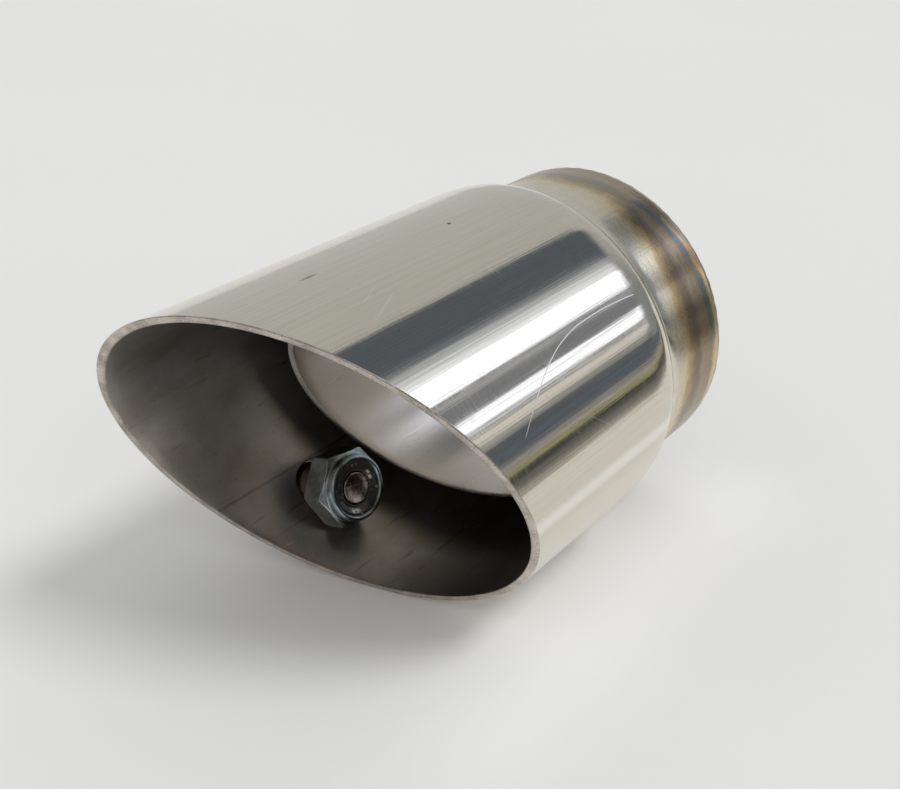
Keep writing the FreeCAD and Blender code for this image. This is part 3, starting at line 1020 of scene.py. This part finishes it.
# %% The sun
SUN_BEARING, SUN_LIFT = math.radians(62), math.radians(59)
sun_data = bpy.data.lights.new("soft_sun", "SUN")
sun_data.energy = 1.15
sun_data.angle = math.radians(17)
sun = show("soft_sun", sun_data)
light_way = Vector((math.cos(SUN_LIFT) * math.sin(SUN_BEARING),
                    math.cos(SUN_LIFT) * math.cos(SUN_BEARING), math.sin(SUN_LIFT)))
sun.rotation_mode = "QUATERNION"
sun.rotation_quaternion = light_way.to_track_quat("Z", "Y")
sun.visible_glossy = False
print("sun energy", sun_data.energy)

# %% The world's fill
world = bpy.data.worlds.new("fill")
scene.world = world
world.use_nodes = True
world_tree = world.node_tree
ray = world_tree.nodes.new("ShaderNodeLightPath").outputs
seen = Value(world_tree, ray["Is Camera Ray"])
for ray_kind in ("Is Glossy Ray", "Is Transmission Ray"):
    seen = calc("MAXIMUM", seen, Value(world_tree, ray[ray_kind]))
sky_x, sky_y, sky_z = parts_of(add_node(world_tree, "ShaderNodeTexCoord", output="Generated"))
level = sky_x * 0.16 + 0.545 - sky_y * 0.12 + sky_z * 0.165
feed(world_tree.nodes["Background"].inputs["Color"],
     blend(seen, pack_vector(level, level, level), (0.76, 0.755, 0.745)))
scene.view_settings.view_transform = "Standard"
print("fill light has", len(world_tree.nodes), "nodes")

# %% [markdown]
# A polished tube throws some of the sun back on the table beside it. Tracing that path is slow and
# noisy, so a small flat lamp along the tube's right side stands in for it. The lamp itself is hidden
# from the camera and from reflections.

# %% The light thrown back by the sleeve
thrown_data = bpy.data.lights.new("thrown_light", "AREA")
thrown_data.shape = "RECTANGLE"
thrown_data.size = 0.095
thrown_data.size_y = 0.014
thrown_data.energy = 0.0011
thrown = show("thrown_light", thrown_data)
thrown_way = Vector((-0.40, 0.0, -0.92)).normalized()
lamp_side = (TUBE_WAY - thrown_way * TUBE_WAY.dot(thrown_way)).normalized()
lamp_turn = Matrix((lamp_side, lamp_side.cross(thrown_way), -thrown_way)).transposed()
thrown.matrix_world = Matrix.Translation((0.034, 0.012, 0.013)) @ lamp_turn.to_4x4()
thrown.visible_glossy = False
thrown.visible_camera = False
print("thrown light", thrown_data.energy, "W")

# %% [markdown]
# ## What the reflections see
# A tube laid along Y turns every long light that is parallel to it into a straight band, because the
# angle of a reflected ray about that axis depends only on where round the tube it was reflected.
# So the surround is a big sphere whose glow follows one angle, the turn about the tube's axis.
# It is hidden from everything but reflections, and it adds no light to matt surfaces.

# %% The surround's angles
SURROUND_R = 3.0
surround_work = bmesh.new()
bmesh.ops.create_uvsphere(surround_work, u_segments=48, v_segments=24, radius=SURROUND_R)
surround = show("surround", mesh_from("surround", surround_work))
glow = new_finish("surround_glow")
glow_x, glow_y, glow_z = parts_of(object_spot(glow))
about_axis = calc("ARCTAN2", glow_z, glow_x) * DEGREES
bearing = calc("ARCTAN2", glow_x, glow_y) * DEGREES
lift = calc("ARCSINE", glow_z / SURROUND_R) * DEGREES
rearward = glow_y / SURROUND_R
print("surround angles ready")

# %% [markdown]
# The right side is dark, with long strip lights at several heights. Each strip has the angle of its
# middle, half its width, the width of its soft edges and its brightness. The wide one has a
# veil above it that fades out slowly, like light on a ceiling.

# %% Strip lights on the right
STRIPS = {
    "low glow": (12.0, 1.2, 3.6, (0.24, 0.23, 0.21)),
    "low warm strip": (16.6, 1.2, 3.2, (0.66, 0.64, 0.60)),
    "narrow white strip": (25.7, 2.5, 2.6, (1.42, 1.50, 1.75)),
    "grey panel": (37.5, 6.0, 2.0, (0.12, 0.12, 0.13)),
    "thin lamp": (41.6, 0.8, 1.0, (0.26, 0.26, 0.27)),
    "wide white strip": (51.0, 4.9, 1.3, (1.45, 1.55, 1.80)),
}


def add_lines(colour, place, lines):
    for middle, half, soft, line_colour in lines.values():
        colour = blend(near(place, middle, half, soft), colour, line_colour, "ADD")
    return colour


right_side = add_lines((0.105, 0.122, 0.150), about_axis, STRIPS)
veil = fade(about_axis, 74.0, 56.0) * fade(about_axis, 54.0, 56.0)
right_side = blend(veil, right_side, (0.95, 1.0, 1.12), "ADD")
print("strip lights:", ", ".join(STRIPS))

# %% [markdown]
# The left side is one even wall, and the border between the two draws the hard edge on top of the
# sleeve. Straight behind, a dim grey-green wall ends the strips, so the bands stop at the shoulder.
# The front is dim and warm, which keeps the mouth dark.

# %% The walls of the surround
wall = blend(fade(about_axis, 96.0, 190.0), (0.52, 0.53, 0.52), (0.56, 0.58, 0.58))
on_wall = fade(about_axis, 95.2, 96.8)
rear_wall = blend(fade(about_axis, 40.0, 88.0), (0.27, 0.30, 0.31), (0.45, 0.465, 0.46))
right_side = blend(fade(rearward, 0.815, 0.865), right_side, rear_wall)
rear = blend(on_wall, right_side, wall)
front = colour_steps(lift / 90.0, (
    (0.0, (0.26, 0.24, 0.22)),
    (0.45, (0.36, 0.34, 0.32)),
    (1.0, (0.60, 0.58, 0.55)),
))
front_share = fade(calc("ABSOLUTE", bearing), 80.0, 115.0)


def glow_only_in_reflections(stage_piece, material, colour):
    tree = material.node_tree
    tree.nodes.remove(tree.nodes["Principled BSDF"])
    emission = add_node(tree, "ShaderNodeEmission", {"Color": colour})
    feed(tree.nodes["Material Output"].inputs["Surface"], emission)
    material.cycles.emission_sampling = "NONE"
    stage_piece.data.materials.append(material)
    for ray_kind in ("camera", "diffuse", "transmission", "shadow", "volume_scatter"):
        setattr(stage_piece, "visible_" + ray_kind, False)


glow_only_in_reflections(surround, glow, blend(front_share, rear, front))
print("surround has", len(glow.node_tree.nodes), "nodes")

# %% [markdown]
# A low dark card stands on the table at the right, parallel to the tube and outside the picture. It
# draws the dark lines between the table's reflection and the strips. A few paler lines along it
# keep those from becoming one black stripe.

# %% The low dark card
CARD_X, CARD_FRONT, CARD_BACK, CARD_TOP = 0.100, -0.25, 0.35, 0.048
card = flat_sheet("dark_card", [
    (CARD_X, CARD_FRONT, 0.0), (CARD_X, CARD_BACK, 0.0),
    (CARD_X, CARD_BACK, CARD_TOP), (CARD_X, CARD_FRONT, CARD_TOP)])
card_finish = new_finish("dark_card")
card_height = parts_of(object_spot(card_finish))[2] / MM
card_colour = colour_steps(card_height / (CARD_TOP / MM), (
    (0.00, (0.60, 0.59, 0.57)),
    (0.17, (0.27, 0.26, 0.24)),
    (0.30, (0.13, 0.13, 0.13)),
    (0.47, (0.05, 0.05, 0.055)),
    (0.62, (0.16, 0.15, 0.12)),
    (0.78, (0.17, 0.17, 0.19)),
    (0.90, (0.09, 0.12, 0.17)),
    (1.00, (0.13, 0.16, 0.20)),
))
CARD_LINES = {
    "thin grey line": (16.3, 0.4, 1.0, (0.09, 0.09, 0.10)),
    "yellow line": (27.2, 0.9, 1.1, (0.34, 0.34, 0.14)),
    "white line": (31.8, 0.5, 1.1, (0.46, 0.46, 0.45)),
    "soft grey line": (36.2, 1.0, 1.8, (0.15, 0.15, 0.15)),
}
glow_only_in_reflections(card, card_finish, add_lines(card_colour, card_height, CARD_LINES))
print("card stands", CARD_X, "m to the right")
